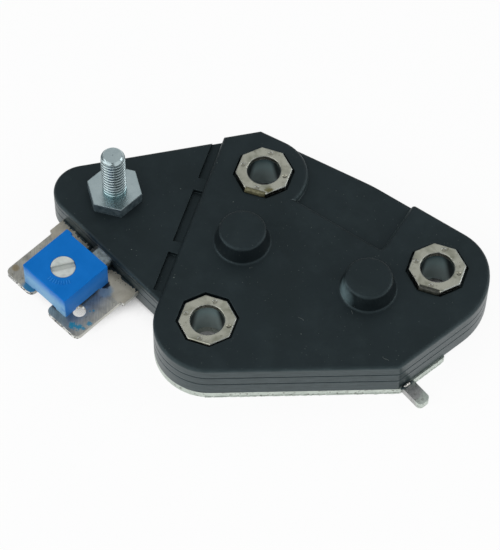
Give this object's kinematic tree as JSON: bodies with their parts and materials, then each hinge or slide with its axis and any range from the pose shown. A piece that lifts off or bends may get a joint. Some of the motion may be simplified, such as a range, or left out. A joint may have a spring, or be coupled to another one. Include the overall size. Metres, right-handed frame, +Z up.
{
  "type": "alternator voltage regulator",
  "caption": "Flat moulded voltage regulator for a vehicle alternator, on a metal heat sink plate, with eyelet terminals, a threaded stud and an adjusting trimmer.",
  "frame": {"origin": "axis of the earth bore at the underside of the heat sink plate", "axes": "+X along the straight front wall towards the field terminal, +Y towards the battery terminal, +Z up through the bores, out of the cover"},
  "size_m": [0.0757, 0.0474, 0.0181],
  "materials": {
    "black_moulding": "glass-filled thermoset, matte near-black, slightly green-grey",
    "plate_aluminium": "sawn and pressed sheet, lightly dulled",
    "nickel_plate": "nickel-plated lead frame, warm grey with slight stains",
    "nickel_eyelet": "nickel-plated pressed steel",
    "zinc_steel": "zinc-plated turned steel, bluish",
    "trimmer_blue": "blue moulded polyester",
    "trimmer_white": "whitish moulded nylon",
    "ring_rubber": "dark moulded rubber",
    "spring_alloy": "thin spring alloy",
    "alumina": "fired alumina ceramic, off-white",
    "solder": "soft solder",
    "sealing_resin": "cast epoxy",
    "component_body": "moulded epoxy, black",
    "can_aluminium": "drawn can",
    "diode_copper": "nickelled copper button",
    "resistor_ceramic": "glazed thick-film chip"
  },
  "bodies": {
    "regulator": {"upper_cover": "black_moulding", "middle_frame": "black_moulding", "lower_case": "black_moulding", "heat_sink_plate": "plate_aluminium", "battery_eyelet": "nickel_eyelet", "field_eyelet": "nickel_eyelet", "earth_eyelet": "nickel_eyelet", "output_stud": "zinc_steel", "battery_bus": "nickel_plate", "field_bus": "nickel_plate", "trimmer_tab_left": "nickel_plate", "trimmer_tab_right": "nickel_plate", "trimmer_housing": "trimmer_blue", "trimmer_element": "alumina", "trimmer_base_seal": "sealing_resin", "trimmer_pin_1": "solder", "trimmer_pin_2": "solder", "trimmer_pin_3": "solder", "pin_solder_1": "solder", "pin_solder_2": "solder", "pin_solder_3": "solder", "hybrid_substrate": "alumina", "power_transistor": "component_body", "driver_chip": "component_body", "zener_diode": "component_body", "sense_resistor_1": "resistor_ceramic", "sense_resistor_2": "resistor_ceramic", "sense_resistor_3": "resistor_ceramic", "filter_capacitor": "can_aluminium", "freewheel_diode": "diode_copper"},
    "trimmer_screw": {"trimmer_rotor": "trimmer_white", "trimmer_o_ring": "ring_rubber", "trimmer_wiper": "spring_alloy"}
  },
  "joints": [
    {"name": "voltage_adjust", "type": "hinge", "parent": "regulator", "child": "trimmer_screw", "pos_m": [-0.0223, 0.00972, 0.0075], "axis": [0, 0, 1], "range_deg": [-155, 155]}
  ]
}
